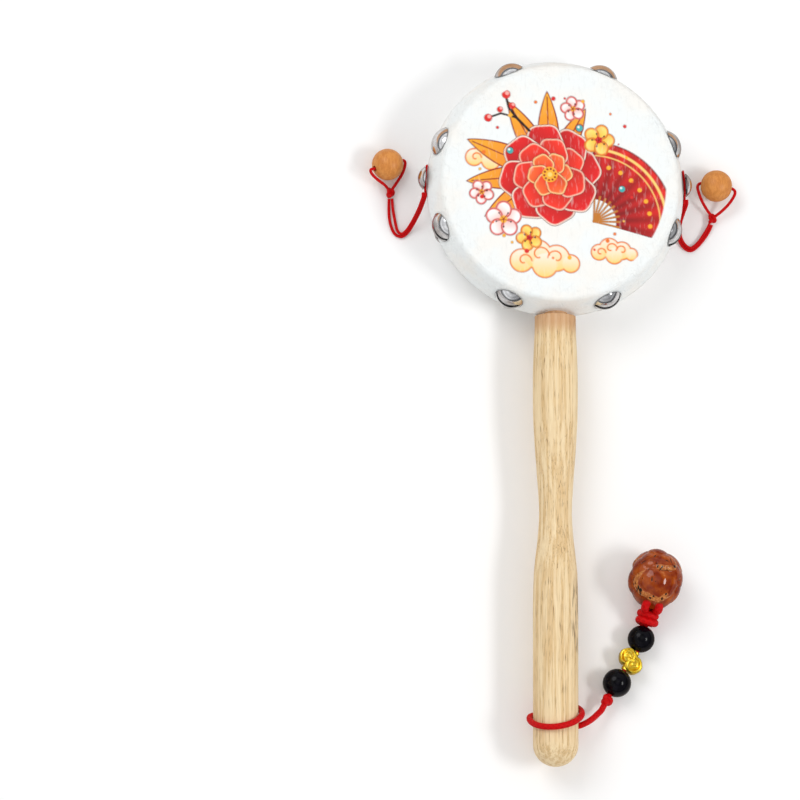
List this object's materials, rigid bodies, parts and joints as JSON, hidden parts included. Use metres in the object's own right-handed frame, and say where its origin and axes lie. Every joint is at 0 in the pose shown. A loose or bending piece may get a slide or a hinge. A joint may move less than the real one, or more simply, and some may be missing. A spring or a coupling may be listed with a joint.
{
  "type": "pellet drum rattle",
  "caption": "Hand-held rattle drum with two hide heads, domed tacks, tethered wooden pellets that strike the heads, a turned handle and a beaded charm on the grip.",
  "frame": {"origin": "centre of the rear head's outer face, on which the rattle lies", "axes": "+Z along the drum's axis towards the front head, -Y along the handle towards its rounded end, +X to the right seen from the front head with the handle pointing down"},
  "size_m": [0.1432, 0.2757, 0.028],
  "materials": {
    "hide": "bleached hide, matte",
    "shell_wood": "bare turned wood",
    "handle_ash": "bare ash, sanded",
    "tack_chrome": "polished plated steel",
    "pellet_wood": "turned wood, waxed",
    "red_cord": "braided red cord",
    "black_bead": "polished black",
    "gold": "bright gold plate",
    "nut": "carved nut shell, varnished"
  },
  "bodies": {
    "drum": {"drum_shell": "shell_wood", "front_skin": "hide", "rear_skin": "hide", "handle": "handle_ash", "front_tacks": "tack_chrome", "rear_tacks": "tack_chrome", "left_tack": "tack_chrome", "right_tack": "tack_chrome", "left_pinned_cord": "red_cord", "right_pinned_cord": "red_cord"},
    "left_tether": {"left_tether_upper": "red_cord"},
    "left_strike": {"left_tether_lower": "red_cord", "left_knot": "red_cord", "left_pellet_loop": "red_cord"},
    "left_pellet": {"left_pellet": "pellet_wood"},
    "right_tether": {"right_tether_upper": "red_cord"},
    "right_strike": {"right_tether_lower": "red_cord", "right_knot": "red_cord", "right_pellet_loop": "red_cord"},
    "right_pellet": {"right_pellet": "pellet_wood"},
    "charm_loop": {"charm_loop": "red_cord", "charm_loop_knot": "red_cord"},
    "charm_lead": {"charm_lead": "red_cord"},
    "bead_string": {"stop_knot": "red_cord", "bead_cord": "red_cord", "wrapped_knot": "red_cord", "nut_hanger": "red_cord", "carved_nut": "nut"},
    "lower_bead": {"lower_black_bead": "black_bead"},
    "gold_bead": {"gold_bead": "gold"},
    "upper_bead": {"upper_black_bead": "black_bead"}
  },
  "joints": [
    {"name": "left_throw", "type": "hinge", "parent": "drum", "child": "left_tether", "pos_m": [-0.0509, -0.0027, 0.014], "axis": [0, 1, 0], "range_deg": [0, 157.5]},
    {"name": "left_unfurl", "type": "hinge", "parent": "left_tether", "child": "left_strike", "pos_m": [-0.058, -0.017, 0.00085], "axis": [0, 0, 1], "range_deg": [0, 80], "deforming": ["left_tether_lower"]},
    {"name": "left_pellet_spin", "type": "hinge", "parent": "left_strike", "child": "left_pellet", "pos_m": [-0.064, 0.0096, 0.0061], "axis": [-0.8847, -0.3609, 0.2949], "continuous": true},
    {"name": "right_throw", "type": "hinge", "parent": "drum", "child": "right_tether", "pos_m": [0.0509, -0.0027, 0.014], "axis": [0, -1, 0], "range_deg": [0, 153]},
    {"name": "right_unfurl", "type": "hinge", "parent": "right_tether", "child": "right_strike", "pos_m": [0.0546, -0.0195, 0.00085], "axis": [0, 0, -1], "range_deg": [0, 80], "deforming": ["right_tether_lower"]},
    {"name": "right_pellet_spin", "type": "hinge", "parent": "right_strike", "child": "right_pellet", "pos_m": [0.0641, 0.0047, 0.0061], "axis": [0.982, -0.16, 0.1], "continuous": true},
    {"name": "loop_slide", "type": "slide", "parent": "drum", "child": "charm_loop", "axis": [0, 1, 0], "range_m": [-0.005, 0.085]},
    {"name": "lead_swing", "type": "hinge", "parent": "charm_loop", "child": "charm_lead", "pos_m": [0.0081, -0.20815, 0.0081], "axis": [0, 0, 1], "range_deg": [-70, 14], "deforming": ["charm_lead"]},
    {"name": "string_lift", "type": "hinge", "parent": "charm_lead", "child": "bead_string", "pos_m": [0.0199, -0.2001, 0.0055], "axis": [0.8746, -0.4848, 0], "range_deg": [0, 95]},
    {"name": "lower_bead_spin", "type": "hinge", "parent": "bead_string", "child": "lower_bead", "pos_m": [0.02503, -0.19105, 0.0055], "axis": [0.5, 0.866, 0], "continuous": true},
    {"name": "gold_bead_spin", "type": "hinge", "parent": "bead_string", "child": "gold_bead", "pos_m": [0.03027, -0.18242, 0.00543], "axis": [0.5446, 0.8385, -0.0175], "continuous": true},
    {"name": "upper_bead_spin", "type": "hinge", "parent": "bead_string", "child": "upper_bead", "pos_m": [0.03447, -0.17365, 0.00543], "axis": [0.3255, 0.9454, 0.0175], "continuous": true}
  ],
  "couplings": [
    {"joint": "left_unfurl", "follows": "left_throw", "ratio": 0.49},
    {"joint": "right_unfurl", "follows": "right_throw", "ratio": 0.49}
  ]
}
